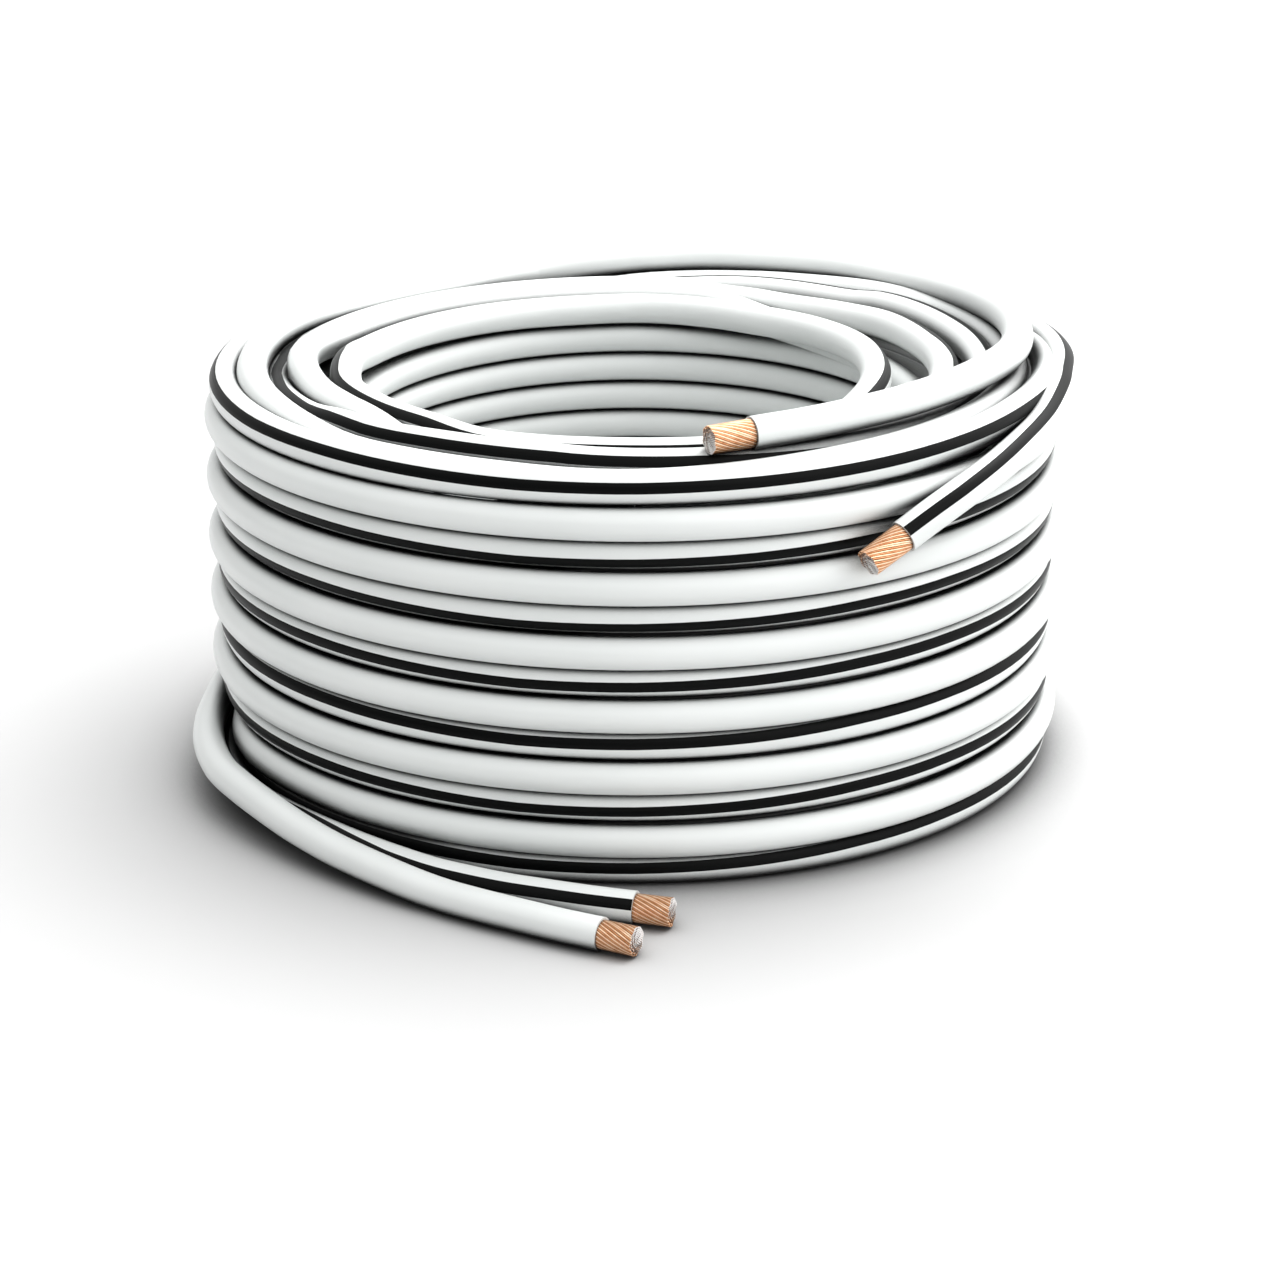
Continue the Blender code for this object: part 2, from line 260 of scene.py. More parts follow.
class Builder:
    """Gathers swept tubes into one mesh."""

    def __init__(self):
        self.vertices = []
        self.faces = []
        self.uvs = []
        self.indices = []

    def loft(self, rings, section_lengths, travel, face_material, flipped, caps, cap_material=0):
        """Joins rings of points, one for each step along a route."""
        base = len(self.vertices)
        steps, sides = rings.shape[:2]
        self.vertices.extend(rings.reshape(-1, 3))
        for i in range(steps - 1):
            for j in range(sides):
                k = (j + 1) % sides
                quad = [base + i * sides + j, base + i * sides + k,
                        base + (i + 1) * sides + k, base + (i + 1) * sides + j]
                v0 = section_lengths[j]
                v1 = section_lengths[j + 1]
                uv = [(travel[i], v0), (travel[i], v1), (travel[i + 1], v1), (travel[i + 1], v0)]
                if flipped:
                    quad.reverse()
                    uv.reverse()
                self.faces.append(quad)
                self.uvs.extend(uv)
                self.indices.append(face_material[j])
        if caps:
            for i, backwards in ((0, not flipped), (steps - 1, flipped)):
                ring = [base + i * sides + j for j in range(sides)]
                if backwards:
                    ring.reverse()
                self.faces.append(ring)
                self.uvs.extend([(travel[i], 0.0)] * sides)
                self.indices.append(cap_material)

    def tube(self, route, radius, stripe=None, sides=SIDES, cap_material=0, side_material=0):
        """A round tube; stripe is the angle of its middle from outward towards up, per point."""
        tangent, outward, upward = frames(route)
        if stripe is None:
            relative = np.arange(sides) * 360.0 / sides
            centre = np.zeros(len(route))
            materials = [side_material] * sides
        else:
            relative = np.concatenate([
                np.linspace(-STRIPE_HALF, STRIPE_HALF, STRIPE_POINTS),
                np.linspace(STRIPE_HALF, 360 - STRIPE_HALF, sides - STRIPE_POINTS + 2)[1:-1],
            ])
            centre = np.broadcast_to(np.asarray(stripe, float), (len(route),))
            materials = [1 if -STRIPE_HALF - EDGE_SLACK <= a < STRIPE_HALF - EDGE_SLACK else 0
                         for a in relative]
        angle = np.radians(relative[None, :] + centre[:, None])
        rings = (route[:, None, :]
                 + radius * np.cos(angle)[:, :, None] * outward[:, None, :]
                 + radius * np.sin(angle)[:, :, None] * upward[:, None, :])
        travel = np.concatenate([[0.0], np.cumsum(np.linalg.norm(np.diff(route, axis=0), axis=1))])
        lengths = np.radians(np.append(relative, relative[0] + 360)) * radius
        middle = len(route) // 2
        forward = np.dot(np.cross(outward[middle], upward[middle]), tangent[middle]) > 0
        self.loft(rings, lengths, travel, materials, forward, True, cap_material)

    def web(self, first, second, edge=WEB_EDGE):
        """The thin web between two jackets that run side by side."""
        across = second - first
        spacing = np.linalg.norm(across, axis=1)
        across /= spacing[:, None]
        tangent = np.gradient(first, axis=0)
        tangent /= np.linalg.norm(tangent, axis=1)[:, None]
        side = np.cross(tangent, across)
        edge = math.radians(edge)
        reach = JACKET_R * math.cos(edge)
        thick = JACKET_R * math.sin(edge)
        middle = spacing / 2
        corners = [(reach, thick), (None, thick * WEB_WAIST), (-reach, thick),
                   (-reach, -thick), (None, -thick * WEB_WAIST), (reach, -thick)]
        rings = []
        for along, off in corners:
            if along is None:
                place = first + across * middle[:, None]
            elif along > 0:
                place = first + across * along
            else:
                place = second + across * along
            rings.append(place + side * off)
        rings = np.stack(rings, axis=1)
        travel = np.concatenate([[0.0], np.cumsum(np.linalg.norm(np.diff(first, axis=0), axis=1))])
        lengths = np.linspace(0.0, WEB_ROUND, len(corners) + 1)
        self.loft(rings, lengths, travel, [0] * len(corners), True, False)

    def finish(self, name, materials):
        return mesh_object(name, self.vertices, self.faces, self.uvs, self.indices, materials)


class Shader:
    """Short calls for building a material's nodes."""

    def __init__(self, name):
        self.material = bpy.data.materials.new(name)
        self.material.use_nodes = True
        self.tree = self.material.node_tree
        self.surface = self.tree.nodes["Principled BSDF"]

    def node(self, kind, **values):
        node = self.tree.nodes.new(kind)
        for key, value in values.items():
            setattr(node, key, value)
        return node

    def link(self, output, socket):
        self.tree.links.new(output, socket)

    def noise(self, vector, scale, detail=2.0, roughness=0.5):
        node = self.node("ShaderNodeTexNoise")
        node.inputs["Scale"].default_value = scale
        node.inputs["Detail"].default_value = detail
        node.inputs["Roughness"].default_value = roughness
        self.link(vector, node.inputs["Vector"])
        return node.outputs["Fac"]

    def mapped(self, source, scale):
        node = self.node("ShaderNodeMapping")
        node.inputs["Scale"].default_value = scale
        self.link(source, node.inputs["Vector"])
        return node.outputs["Vector"]

    def ramp(self, factor, stops):
        node = self.node("ShaderNodeValToRGB")
        ramp = node.color_ramp
        while len(ramp.elements) < len(stops):
            ramp.elements.new(0.5)
        for element, (place, colour) in zip(ramp.elements, stops):
            element.position = place
            element.color = (*colour, 1.0)
        self.link(factor, node.inputs["Fac"])
        return node.outputs["Color"]

    def span(self, factor, low, high):
        node = self.node("ShaderNodeMapRange")
        node.inputs["To Min"].default_value = low
        node.inputs["To Max"].default_value = high
        self.link(factor, node.inputs["Value"])
        return node.outputs["Result"]

    def paint_crevice_shade(self, colour, depth, dark, low, high):
        """Paints shade into a colour where other turns close in on the surface: ambient occlusion mixes
        it towards a dark colour.
        """
        near = self.node("ShaderNodeAmbientOcclusion", samples=6)
        near.inputs["Distance"].default_value = depth
        amount = self.node("ShaderNodeMapRange", interpolation_type="SMOOTHSTEP")
        amount.inputs["From Min"].default_value = low
        amount.inputs["From Max"].default_value = high
        self.link(near.outputs["AO"], amount.inputs["Value"])
        mix = self.node("ShaderNodeMix", data_type="RGBA")
        mix.inputs[6].default_value = (*dark, 1.0)
        self.link(amount.outputs["Result"], mix.inputs[0])
        self.link(colour, mix.inputs[7])
        return mix.outputs[2]

    def bump(self, height, strength, distance, under=None):
        node = self.node("ShaderNodeBump")
        node.inputs["Strength"].default_value = strength
        node.inputs["Distance"].default_value = distance
        self.link(height, node.inputs["Height"])
        if under is not None:
            self.link(under, node.inputs["Normal"])
        return node.outputs["Normal"]


def white_jacket_material():
    """Soft satin PVC: faint drawn lines along the cord, a slight orange peel, a few scuffs and painted
    shade in the gaps between turns.
    """
    shader = Shader("white_jacket")
    place = shader.node("ShaderNodeTexCoord")
    along = shader.mapped(place.outputs["UV"], (40.0, 2600.0, 1.0))
    drawn = shader.noise(along, 1.0, 3.0)
    peel = shader.noise(place.outputs["Object"], 900.0, 2.0)
    cloud = shader.noise(place.outputs["Object"], 45.0, 3.0)
    tint = shader.ramp(cloud, [(0.25, (0.715, 0.74, 0.73)), (0.75, (0.765, 0.785, 0.775))])
    # Painted shade: ambient occlusion takes the white to near black in the gaps between turns.
    shaded = shader.paint_crevice_shade(tint, 0.005, (0.004, 0.0045, 0.0045), 0.30, 0.78)
    shader.link(shaded, shader.surface.inputs["Base Color"])
    shader.link(shader.span(cloud, 0.27, 0.42), shader.surface.inputs["Roughness"])
    fine = shader.bump(drawn, 0.10, 0.00008)
    shader.link(shader.bump(peel, 0.12, 0.00006, fine), shader.surface.inputs["Normal"])
    shader.surface.inputs["Specular IOR Level"].default_value = 0.45
    return shader.material


def stripe_material():
    """The black run of the stripe, with fine lines drawn along it."""
    shader = Shader("black_stripe")
    place = shader.node("ShaderNodeTexCoord")
    along = shader.mapped(place.outputs["UV"], (25.0, 7000.0, 1.0))
    drawn = shader.noise(along, 1.0, 2.0)
    tint = shader.ramp(drawn, [(0.35, (0.0006, 0.0008, 0.0007)), (0.75, (0.0025, 0.003, 0.003))])
    shader.link(tint, shader.surface.inputs["Base Color"])
    shader.link(shader.span(drawn, 0.30, 0.50), shader.surface.inputs["Roughness"])
    shader.link(shader.bump(drawn, 0.35, 0.00006), shader.surface.inputs["Normal"])
    shader.surface.inputs["Specular IOR Level"].default_value = 0.08
    shader.surface.inputs["Sheen Weight"].default_value = 0.12
    shader.surface.inputs["Sheen Roughness"].default_value = 0.25
    return shader.material


def copper_material(name, dull, bright, rough, metallic):
    """Bare copper strands, a little duller from place to place, with painted shade where they close in.
    """
    shader = Shader(name)
    place = shader.node("ShaderNodeTexCoord")
    along = shader.mapped(place.outputs["UV"], (60.0, 3000.0, 1.0))
    drawn = shader.noise(along, 1.0, 2.0)
    patch = shader.noise(place.outputs["Object"], 900.0, 2.0)
    tint = shader.ramp(patch, [(0.3, dull), (0.7, bright)])
    # Painted shade: ambient occlusion takes the copper to dark brown where strands close in.
    shaded = shader.paint_crevice_shade(tint, 0.0005, (0.10, 0.035, 0.015), 0.25, 0.85)
    shader.link(shaded, shader.surface.inputs["Base Color"])
    shader.link(shader.span(drawn, rough, rough + 0.18), shader.surface.inputs["Roughness"])
    shader.link(shader.bump(drawn, 0.2, 0.00003), shader.surface.inputs["Normal"])
    shader.surface.inputs["Metallic"].default_value = metallic
    return shader.material


WHITE = white_jacket_material()
BLACK = stripe_material()
COPPER = copper_material("bare_copper", (0.92, 0.56, 0.34), (0.98, 0.74, 0.54), 0.25, 1.0)
SHADED_COPPER = copper_material("shaded_copper", (0.50, 0.20, 0.08), (0.72, 0.36, 0.18), 0.30, 1.0)
CUT_COPPER = copper_material("cut_copper", (0.55, 0.52, 0.50), (0.95, 0.92, 0.90), 0.40, 0.5)
JACKET_MATERIALS = [WHITE, BLACK]


def settle(obj, slot_name, *replaced):
    """Hands a piece to the frame: its body and the solids it stands for; slot_name, its material's
    slot, is not used.
    """
    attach(obj, "root")
    if replaced:
        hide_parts(*replaced)
    return obj


def climb(phi):
    """How far a turn has risen at an angle from the front: level in front, steep at the back."""
    return TURN_PITCH * (phi - math.sin(phi)) / math.tau


# Where the wall's first turn leaves room for the lower ends and its last for the upper ends,
# as (degrees from the wall's start, inward mm, upward mm)
WALL_SHIFTS = [(0, 5.2, 0.0), (80, 5.0, 0.0), (88, 4.6, 0.0), (96, 3.8, 0.0), (103, 2.3, 0.0),
               (110, 0.8, 0.0), (118, 0.0, 0.0), (330, 0.0, 0.0), (360, 0.0, 0.3), (390, 0.0, 1.4),
               (422, 0.0, 1.6), (450, 0.0, 0.6), (475, 0.0, 0.0), (720, 0.0, 0.5), (750, 0.0, 0.9),
               (782, 0.0, 1.0), (810, 0.0, 0.4), (835, 0.0, 0.0), (2050, 0.0, 0.0), (2070, 0.0, 0.0),
               (2100, 0.4, -2.8), (2115, 1.6, -4.4), (2130, 4.0, -6.0), (2160, 9.0, -9.0)]


def outer_pair():
    """The outer wall: striped jacket below and tucked in, plain jacket above it."""
    plain, striped = [], []
    count = round(360 * FULL_TURNS / STEP_ANGLE)
    shifts = np.array(WALL_SHIFTS, float)
    for i in range(count + 1):
        travelled = i * STEP_ANGLE
        inward = np.interp(travelled, shifts[:, 0], shifts[:, 1]) / 1000
        upward = np.interp(travelled, shifts[:, 0], shifts[:, 2]) / 1000
        turn, phi = divmod(math.radians(travelled), math.tau)
        phi -= math.pi
        height = turn * TURN_PITCH + climb(phi) + upward
        low = max(JACKET_R, JACKET_R + height)
        striped.append(polar(travelled + 90, WOUND_R - PAIR_TUCK - inward, low))
        plain.append(polar(travelled + 90, WOUND_R - inward, low + PAIR_RISE))
    return np.array(plain), np.array(striped)


# The stripe's middle on the wall, degrees above outward in front, and what it rolls on the way round
STRIPE_BY_TURN = [14, -9, 14, -9, -27, -27]
STRIPE_BY_ANGLE = [(90, 0), (210, 4), (225, 5), (240, 2), (255, -3), (270, 0), (285, 6), (300, 15),
                   (315, 17), (330, 12), (345, 8), (450, 0)]

LOWER_JOIN = 152.1            # where the lower ends come out of the winding
UPPER_JOIN = 106.0            # and the upper ends
# The cord's start where it turns in under the wall: angle, radius and height in millimetres
START_PLAIN = [(160.3, 65.55, 7.57), (152.1, 65.6, 7.57), (146, 65.9, 7.4), (138, 66.6, 6.8),
               (128, 67.2, 6.0), (116, 67.2, 5.0), (104, 66.6, 3.6), (92, 65.7, 2.6), (78, 64.2, 2.5),
               (60, 61.0, 2.5), (45, 58.0, 2.5)]
START_STRIPED = [(160.3, 64.0, 2.5), (152.1, 64.05, 2.5), (146, 63.9, 2.5), (138, 63.6, 2.5),
                 (128, 63.2, 2.5), (116, 62.8, 2.5), (104, 62.0, 2.5), (92, 60.9, 2.5), (78, 59.4, 2.5),
                 (60, 56.2, 2.5), (45, 53.2, 2.5)]


def make_outer_wall():
    plain, striped = outer_pair()
    builder = Builder()
    builder.tube(plain, JACKET_R)
    turns = np.linspace(0, FULL_TURNS, len(striped))
    steady = np.ravel([(turn + 0.2, turn + 0.8) for turn in range(FULL_TURNS)])
    roll = np.interp(turns, steady, np.repeat(STRIPE_BY_TURN, 2))
    sway = np.array(STRIPE_BY_ANGLE, float)
    roll += np.interp(90 + turns % 1.0 * 360, sway[:, 0], sway[:, 1])
    builder.tube(striped, JACKET_R, stripe=roll)
    builder.web(striped, plain)
    start_plain = ring_route(START_PLAIN, LOWER_JOIN)
    start_striped = ring_route(START_STRIPED, LOWER_JOIN)
    builder.tube(start_plain, JACKET_R)
    builder.tube(start_striped, JACKET_R, stripe=LOWER_STRIPE[0][1])
    builder.web(start_striped, start_plain)
    return settle(builder.finish("outer_turns", JACKET_MATERIALS), "white_jacket", "winding")


def make_inner_turns():
    """Flat pairs behind the outer wall and round the bore, pitched one jacket apart."""
    builder = Builder()
    for layer in range(BORE_LAYERS):
        radius = BORE_WALL_R + 2 * layer * PAIR_PITCH
        inner, outer = [], []
        for travelled in range(0, 360 * (BORE_TURNS + 1) - BORE_SHORT, BORE_STEP):
            angle = travelled - 90
            phi = math.radians(travelled % 360)
            jog = min(1.0, max(0.0, (phi - JOG_START) / JOG_LENGTH))
            height = BORE_PITCH * (travelled // 360 + jog)
            if travelled > 360 * BORE_TURNS:
                height = BORE_PITCH * BORE_TURNS
            lift = TILT * math.sin(math.radians(angle)) * min(1.0, height / TILT_FULL)
            height = max(JACKET_R, JACKET_R + height + lift)
            inner.append(polar(angle, radius, height))
            outer.append(polar(angle, radius + PAIR_PITCH, height))
        builder.tube(np.array(inner), JACKET_R, sides=BORE_SIDES[0])
        builder.tube(np.array(outer), JACKET_R, sides=BORE_SIDES[1])
    return settle(builder.finish("inner_turns", JACKET_MATERIALS), "white_jacket")


# Top layer, anticlockwise: angle, radius and height in millimetres.
# The striped jacket that rises out of the bore and runs once more round the rim
RISING_STRIPED = [(-142, 45.8, 52.9), (-120, 43.4, 53.6), (-95, 41.0, 55.0), (-70, 40.3, 57.0),
                  (-45, 39.8, 58.7), (-20, 38.5, 60.0), (0, 38.1, 60.0), (20, 38.7, 59.9),
                  (40, 39.7, 59.5), (60, 41.0, 59.0), (75, 43.5, 58.7), (88, 45.1, 58.5),
                  (103, 44.9, 58.5), (120, 45.6, 58.5), (140, 45.6, 58.8), (160, 45.6, 59.3),
                  (170, 45.6, 60.2), (180, 45.5, 61.2), (190, 46.0, 61.5), (200, 46.8, 61.4),
                  (215, 46.8, 61.3), (230, 47.1, 61.3), (243, 49.3, 61.3), (255, 49.5, 61.4),
                  (270, 49.5, 61.5), (300, 49.2, 61.0), (330, 49.0, 60.6), (360, 48.9, 60.5),
                  (378, 49.3, 60.3), (392, 49.3, 60.4), (404, 49.5, 59.7), (418, 50.2, 59.0),
                  (426, 51.0, 59.0), (435, 52.1, 59.0), (442, 55.0, 59.0), (470, 55.5, 59.0),
                  (500, 55.8, 59.0), (540, 56.5, 58.8), (550, 56.3, 59.4), (560, 56.4, 60.0),
                  (570, 56.2, 60.5), (577, 55.6, 61.2), (589, 54.8, 61.4), (600, 53.7, 61.5),
                  (616, 53.6, 61.5), (626, 54.3, 61.4), (660, 54.3, 60.9), (690, 54.2, 60.4),
                  (720, 55.2, 60.4), (736, 55.6, 60.8), (752, 55.5, 61.2), (762, 55.6, 61.0),
                  (770, 56.0, 60.0), (790, 56.5, 59.6), (810, 57.0, 58.0)]
# Its plain mate, which comes up beside it on the left
RISING_PLAIN = [(215, 50.0, 56.0), (240, 48.0, 56.8), (270, 47.0, 57.0), (315, 45.8, 56.0),
                (340, 45.8, 54.0), (360, 45.8, 53.6), (385, 45.8, 54.0), (405, 45.8, 55.5),
                (420, 46.0, 57.3), (430, 47.3, 58.6), (439, 50.3, 58.6), (473, 51.0, 59.3),
                (497, 50.9, 60.0), (508, 51.0, 60.2), (520, 51.5, 60.6), (530, 52.0, 61.5),
                (540, 52.4, 62.4), (551, 52.3, 62.4), (560, 51.8, 61.8), (572, 51.4, 61.6),
                (582, 51.5, 61.0), (600, 52.5, 57.5), (630, 54.0, 56.5)]
# The outermost pair, from the upper ends round to where it goes under them
RIM_PLAIN = [(100, 65.0, 60.92), (106, 64.3, 60.57), (112, 62.2, 60.5), (118, 60.5, 60.5),
             (124, 60.0, 60.1), (137, 60.0, 60.3), (148, 60.0, 61.3), (160, 60.0, 62.2),
             (180, 60.2, 62.0), (200, 60.6, 61.8), (215, 60.3, 60.8), (225, 60.3, 60.1),
             (237, 59.6, 60.0), (250, 59.4, 60.0), (270, 59.6, 59.8), (300, 59.2, 60.8),
             (330, 58.7, 60.9), (360, 59.6, 61.0), (390, 60.3, 61.0), (405, 60.2, 61.0),
             (420, 60.6, 60.0), (431, 60.7, 59.4), (450, 60.9, 58.0), (465, 60.8, 55.5),
             (480, 61.0, 52.5)]
RIM_STRIPED = [(100, 66.3, 55.6), (106, 66.15, 55.47), (112, 65.7, 56.4), (118, 65.2, 57.8),
               (130, 64.9, 57.9), (140, 64.9, 58.5), (150, 64.8, 59.2), (160, 64.9, 60.0),
               (180, 64.8, 60.0), (225, 64.3, 60.6), (270, 64.2, 61.0), (300, 64.0, 61.2),
               (330, 63.6, 61.4), (345, 64.4, 61.5), (360, 65.2, 61.4), (375, 64.9, 60.4),
               (390, 63.6, 59.0), (420, 62.4, 56.8), (450, 61.9, 54.4), (465, 61.5, 52.0),
               (480, 61.2, 49.5)]
RISING_STRIPE = [(-142, 40), (160, 40), (180, 58), (195, 42), (230, 42), (250, 30), (330, 30),
                 (345, 35), (360, 42), (375, 70), (400, 60), (430, 32), (515, 32), (530, 80), (535, 96),
                 (545, 88), (555, 80), (565, 69), (575, 48), (585, 33), (600, 29), (640, 29), (660, 18),
                 (680, 15), (690, 30), (705, 45), (720, 60), (740, 75), (810, 80)]
RIM_STRIPE = [(106, 40), (180, 38), (195, 36), (210, 29), (225, 29), (240, 23), (255, 16), (270, 14),
              (285, 17), (300, 21), (315, 24), (480, 24)]


# Where the web shows between the jackets of each pair on top: first and last angle
RIM_WEB = (151, 364)
RISING_WEB = (534, 576)


def roll_along(route, table, start=None):
    """The stripe's middle at every ring of a route, from a few given angles."""
    rows = np.array(table, float)
    first = route[0][0] if start is None else start
    last = route[-1][0]
    count = round(abs(last - first) / STEP_ANGLE) + 1
    return np.interp(np.linspace(first, last, count), rows[:, 0], rows[:, 1])


def part_of(points, table, first, last, start=None):
    """Evenly spread points of a route between two angles, where table is what the route came from."""
    start = table[0][0] if start is None else start
    end = table[-1][0]
    wanted = np.arange(first, last + 0.1, STEP_ANGLE)
    angles = np.linspace(start, end, len(points))
    return np.stack([np.interp(wanted, angles, points[:, k]) for k in range(3)], axis=1)


def make_rising_turn():
    builder = Builder()
    striped = ring_route(RISING_STRIPED)
    builder.tube(striped, JACKET_R, stripe=roll_along(RISING_STRIPED, RISING_STRIPE))
    return settle(builder.finish("rising_turn", JACKET_MATERIALS), "white_jacket", "inner_turn")


def make_top_turns():
    builder = Builder()
    rising_striped = ring_route(RISING_STRIPED)
    rising_plain = ring_route(RISING_PLAIN)
    plain = ring_route(RIM_PLAIN, UPPER_JOIN)
    striped = ring_route(RIM_STRIPED, UPPER_JOIN)
    builder.tube(rising_plain, JACKET_R)
    builder.tube(plain, JACKET_R)
    builder.tube(striped, JACKET_R, stripe=roll_along(RIM_STRIPED, RIM_STRIPE, UPPER_JOIN))
    builder.web(part_of(striped, RIM_STRIPED, *RIM_WEB, UPPER_JOIN),
                part_of(plain, RIM_PLAIN, *RIM_WEB, UPPER_JOIN), PULLED_WEB_EDGE)
    builder.web(part_of(rising_striped, RISING_STRIPED, *RISING_WEB),
                part_of(rising_plain, RISING_PLAIN, *RISING_WEB), PULLED_WEB_EDGE)
    return settle(builder.finish("top_turns", JACKET_MATERIALS), "white_jacket")


def wall_point(angle, out, height):
    return polar(angle, WOUND_R + out * JACKET_D, height)


def lower_routes():
    """Centre lines of the lower pair: striped jacket on the floor, plain one leaning over it."""
    plain, striped = [], []
    places = [wall_point(angle, out, JACKET_R) for angle, out, lean, spacing in LOWER_ROUTE]
    for i, (angle, out, lean, spacing) in enumerate(LOWER_ROUTE):
        ahead = places[min(i + 1, len(places) - 1)] - places[max(i - 1, 0)]
        inward = Vector((-ahead.y, ahead.x, 0.0)).normalized()
        up = spacing * JACKET_D * math.cos(math.radians(lean))
        across = spacing * JACKET_D * math.sin(math.radians(lean))
        plain.append(places[i] + Vector((0.0, 0.0, up)))
        striped.append(places[i] + inward * across)
    return plain, striped


def upper_route(route):
    return [wall_point(angle, out, TOP_TURN + rise * JACKET_D) for angle, out, rise in route]


def make_copper(name, end, heading, length):
    """A bundle of twisted strands, cut off square."""
    builder = Builder()
    heading = Vector(heading).normalized()
    side = heading.orthogonal().normalized()
    other = heading.cross(side)
    radius = JACKET_R - JACKET_WALL - STRAND_D / 2
    layers = round(radius / (LAYER_PITCH * STRAND_D))
    for layer in range(layers + 1):
        reach = radius * layer / layers
        count = max(1, int(math.tau * reach / STRAND_D))
        inner = layer < layers - 1
        steps = INNER_STRAND_STEPS if inner else OUTER_STRAND_STEPS
        low = INNER_STRAND_START if inner else 0.0
        for i in range(count):
            start = math.tau * (i + 0.37 * layer) / count
            wobble = STRAND_WOBBLE * STRAND_D * math.sin(12.9 * i + 4.1 * layer)
            recess = STRAND_RECESS * STRAND_D * (1.0 + math.sin(7.3 * i + 2.3 * layer))
            route = []
            for share in np.linspace(low, 1.0, steps):
                turn = start + STRAND_TWIST * length * share
                along = (length + COPPER_INSET) * share - COPPER_INSET - recess * share
                spoke = side * math.cos(turn) + other * math.sin(turn)
                route.append(tuple(end + heading * along + spoke * (reach + wobble)))
            builder.tube(np.array(route), STRAND_D * 0.5, sides=STRAND_SIDES, cap_material=2,
                         side_material=i % 2)
    return builder.finish(name, [COPPER, SHADED_COPPER, CUT_COPPER])


def make_tail(name, route, before, strip, stripe, slot_name):
    """One free jacket with its stripped end; before is a place on the turn that it goes on from."""
    points = spline(route, TAIL_STEP, before)
    if isinstance(stripe, list):
        places = np.linspace(0.0, 1.0, len(points))
        stripe = np.interp(places, [place for place, roll in stripe], [roll for place, roll in stripe])
    builder = Builder()
    builder.tube(points, JACKET_R, stripe=stripe)
    jacket = settle(builder.finish(name + "_jacket", JACKET_MATERIALS), slot_name, "jacket_" + name)
    heading = points[-1] - points[-2]
    copper = make_copper(name + "_strands", Vector(points[-1]), heading, strip)
    settle(copper, "bare_copper", "copper_" + name)


# A place on the turn before each free end, so that the two meet without a kink: angle, radius, height
BEFORE_LOWER_PLAIN = (146, 0.0659, 0.0074)
BEFORE_LOWER_STRIPED = (146, 0.0639, 0.0025)
BEFORE_UPPER_PLAIN = (112, 0.0622, 0.0605)
BEFORE_UPPER_STRIPED = (112, 0.0657, 0.0564)


def make_tails():
    lower_plain, lower_striped = lower_routes()
    upper_plain = upper_route(UPPER_PLAIN_ROUTE)
    upper_striped = upper_route(UPPER_STRIPED_ROUTE)
    plain, striped = "white_jacket", "striped_jacket"
    make_tail("lower_plain", lower_plain, polar(*BEFORE_LOWER_PLAIN), BOTTOM_STRIP, None, plain)
    make_tail("lower_striped", lower_striped, polar(*BEFORE_LOWER_STRIPED), BOTTOM_STRIP, LOWER_STRIPE,
              striped)
    make_tail("upper_plain", upper_plain, polar(*BEFORE_UPPER_PLAIN), TOP_STRIP, None, plain)
    make_tail("upper_striped", upper_striped, polar(*BEFORE_UPPER_STRIPED), TOP_STRIP, UPPER_STRIPE,
              striped)


# The camera's place and lens, from the ellipses that the turns make in the picture
CAMERA_BACK = 0.5836          # from the coil's axis
CAMERA_HEIGHT = 0.2245
CAMERA_DOWN = 19.71           # degrees below level
FOCAL_PIXELS = 3818
IMAGE_SIDE = 1274
SENSOR = 36.0
IMAGE_AXIS_X = 635.2


def make_camera():
    data = bpy.data.cameras.new("camera")
    data.sensor_fit = "HORIZONTAL"
    data.sensor_width = SENSOR
    data.lens = SENSOR * FOCAL_PIXELS / IMAGE_SIDE
    data.shift_x = (IMAGE_SIDE / 2 - IMAGE_AXIS_X) / IMAGE_SIDE
    data.clip_start = 0.01
    data.clip_end = 20
    camera = bpy.data.objects.new("camera", data)
    camera.location = AXIS + Vector((0.0, -CAMERA_BACK, CAMERA_HEIGHT))
    camera.rotation_euler = (math.radians(90 - CAMERA_DOWN), 0.0, 0.0)
    bpy.context.scene.collection.objects.link(camera)
    bpy.context.scene.camera = camera


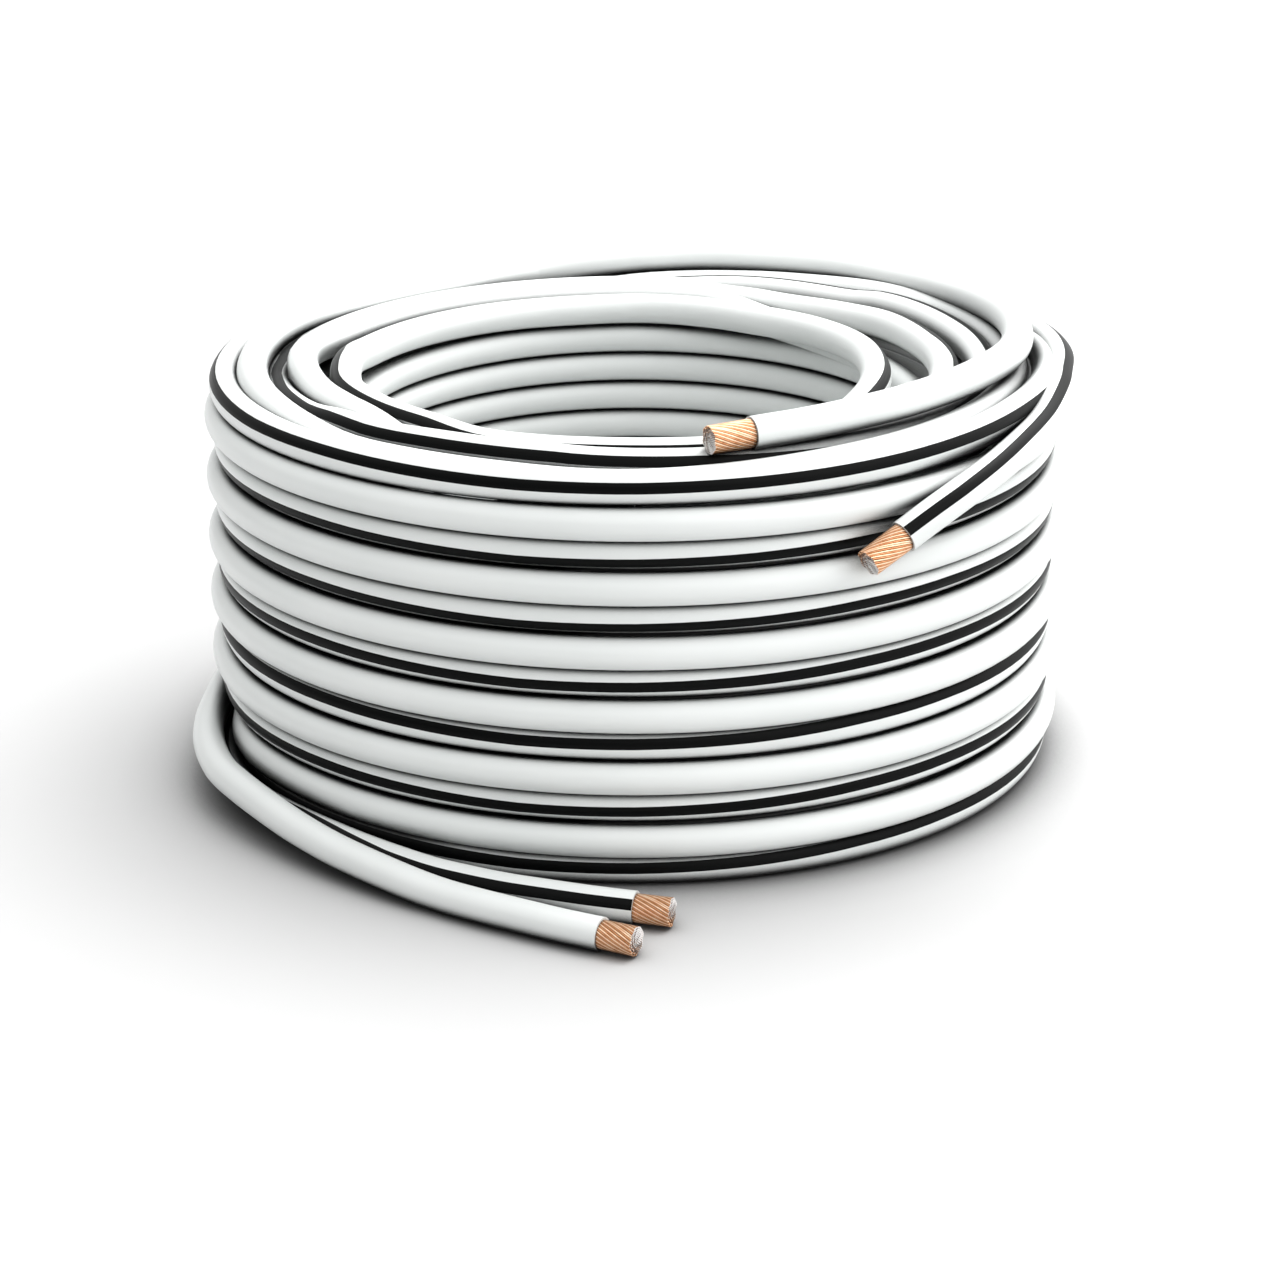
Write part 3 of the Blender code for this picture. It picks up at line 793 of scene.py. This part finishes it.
def make_floor():
    shader = Shader("pale_floor")
    place = shader.node("ShaderNodeTexCoord")
    cloud = shader.noise(place.outputs["Object"], 6.0, 2.0)
    tint = shader.ramp(cloud, [(0.3, (0.535, 0.535, 0.535)), (0.7, (0.55, 0.55, 0.55))])
    # Painted shadow: ambient occlusion takes the floor to dark grey where the coil stands close over
    # it.
    shaded = shader.paint_crevice_shade(tint, 0.014, (0.09, 0.09, 0.09), 0.15, 0.95)
    shader.link(shaded, shader.surface.inputs["Base Color"])
    shader.surface.inputs["Roughness"].default_value = 0.6
    shader.surface.inputs["Specular IOR Level"].default_value = 0.2
    bpy.ops.mesh.primitive_plane_add(size=8.0, location=(0, 0, 0))
    floor = bpy.context.active_object
    floor.name = "floor"
    floor.data.materials.append(shader.material)


# The dome's brightness adds up from these: direction, from, to, dim, bright
DOME = [("Z", 0.12, 0.65, 0.06, 1.25), ("X", -0.1, 0.80, 0.0, 1.5), ("Y", 0.0, 0.9, 0.0, 0.45)]


def area_light(name, place, size, power, target=(0.0, 0.0, 0.03)):
    data = bpy.data.lights.new(name, "AREA")
    data.shape = "DISK"
    data.size = size
    data.energy = power
    light = bpy.data.objects.new(name, data)
    light.location = place
    aim = Vector(target) - Vector(place)
    light.rotation_euler = aim.to_track_quat("-Z", "Y").to_euler()
    bpy.context.scene.collection.objects.link(light)


def make_light():
    """A studio dome, brightest overhead and on the right, with one soft lamp above."""
    world = bpy.data.worlds.new("studio")
    bpy.context.scene.world = world
    world.use_nodes = True
    tree = world.node_tree
    place = tree.nodes.new("ShaderNodeTexCoord")
    split = tree.nodes.new("ShaderNodeSeparateXYZ")
    tree.links.new(place.outputs["Generated"], split.inputs["Vector"])
    total = None
    for axis, start, end, low, high in DOME:
        part = tree.nodes.new("ShaderNodeMapRange")
        part.interpolation_type = "SMOOTHSTEP"
        for name, value in (("From Min", start), ("From Max", end), ("To Min", low), ("To Max", high)):
            part.inputs[name].default_value = value
        tree.links.new(split.outputs[axis], part.inputs["Value"])
        if total is None:
            total = part.outputs["Result"]
        else:
            add = tree.nodes.new("ShaderNodeMath")
            tree.links.new(total, add.inputs[0])
            tree.links.new(part.outputs["Result"], add.inputs[1])
            total = add.outputs["Value"]
    background = tree.nodes["Background"]
    background.inputs["Color"].default_value = (1.0, 1.0, 1.0, 1.0)
    tree.links.new(total, background.inputs["Strength"])
    area_light("soft_top", (0.25, 0.45, 0.9), 0.8, 8.0)
    bpy.context.scene.view_settings.view_transform = "Standard"
    bpy.context.scene.view_settings.look = "None"


make_camera()
make_tails()
make_outer_wall()
make_inner_turns()
make_rising_turn()
make_top_turns()
make_floor()
make_light()
